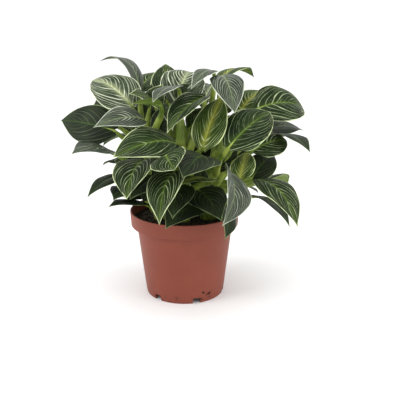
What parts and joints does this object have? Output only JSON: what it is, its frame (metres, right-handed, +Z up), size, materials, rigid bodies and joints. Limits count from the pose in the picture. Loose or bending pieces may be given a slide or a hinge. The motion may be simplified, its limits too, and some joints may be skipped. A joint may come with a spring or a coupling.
{
  "type": "potted plant",
  "caption": "Bushy small-leaved philodendron with dark, pale-veined, pointed oval leaves in a round tapered plastic nursery pot with a deep collar and a notched foot.",
  "frame": {"origin": "On the surface the pot stands on, on the pot's axis, which is also the middle of the plant's spread", "axes": "+Z up along the pot's axis, -Y towards the plant's front, +X to the right seen from the front"},
  "size_m": [0.27, 0.262, 0.259],
  "materials": {
    "pot_plastic": "matte terracotta-coloured moulded plastic",
    "potting_soil": "dark, rough, moist peat",
    "stem_green": "smooth pale green stem",
    "leaf_green": "satin dark green with cream veins and a cream margin"
  },
  "bodies": {
    "root": {"pot": "pot_plastic", "soil": "potting_soil", "left_stem": "stem_green", "centre_stem": "stem_green", "right_stem": "stem_green", "back_stem": "stem_green", "left_leaf_01": "leaf_green", "left_leaf_02": "leaf_green", "left_leaf_03": "leaf_green", "left_leaf_04": "leaf_green", "left_leaf_05": "leaf_green", "left_leaf_06": "leaf_green", "left_leaf_07": "leaf_green", "left_leaf_08": "leaf_green", "left_leaf_09": "leaf_green", "left_leaf_10": "leaf_green", "left_leaf_11": "leaf_green", "left_leaf_12": "leaf_green", "left_leaf_13": "leaf_green", "left_leaf_14": "leaf_green", "centre_leaf_01": "leaf_green", "centre_leaf_02": "leaf_green", "centre_leaf_03": "leaf_green", "centre_leaf_04": "leaf_green", "centre_leaf_05": "leaf_green", "centre_leaf_06": "leaf_green", "centre_leaf_07": "leaf_green", "centre_leaf_08": "leaf_green", "centre_leaf_09": "leaf_green", "centre_leaf_10": "leaf_green", "centre_leaf_11": "leaf_green", "centre_leaf_12": "leaf_green", "centre_leaf_13": "leaf_green", "centre_leaf_14": "leaf_green", "right_leaf_01": "leaf_green", "right_leaf_02": "leaf_green", "right_leaf_03": "leaf_green", "right_leaf_04": "leaf_green", "right_leaf_05": "leaf_green", "right_leaf_06": "leaf_green", "right_leaf_07": "leaf_green", "right_leaf_08": "leaf_green", "right_leaf_09": "leaf_green", "right_leaf_10": "leaf_green", "right_leaf_11": "leaf_green", "right_leaf_12": "leaf_green", "right_leaf_13": "leaf_green", "right_leaf_14": "leaf_green", "right_leaf_15": "leaf_green", "right_leaf_16": "leaf_green", "back_leaf_01": "leaf_green", "back_leaf_02": "leaf_green", "back_leaf_03": "leaf_green", "back_leaf_04": "leaf_green", "back_leaf_05": "leaf_green", "back_leaf_06": "leaf_green", "back_leaf_07": "leaf_green", "back_leaf_08": "leaf_green", "back_leaf_09": "leaf_green", "back_leaf_10": "leaf_green"}
  },
  "joints": []
}
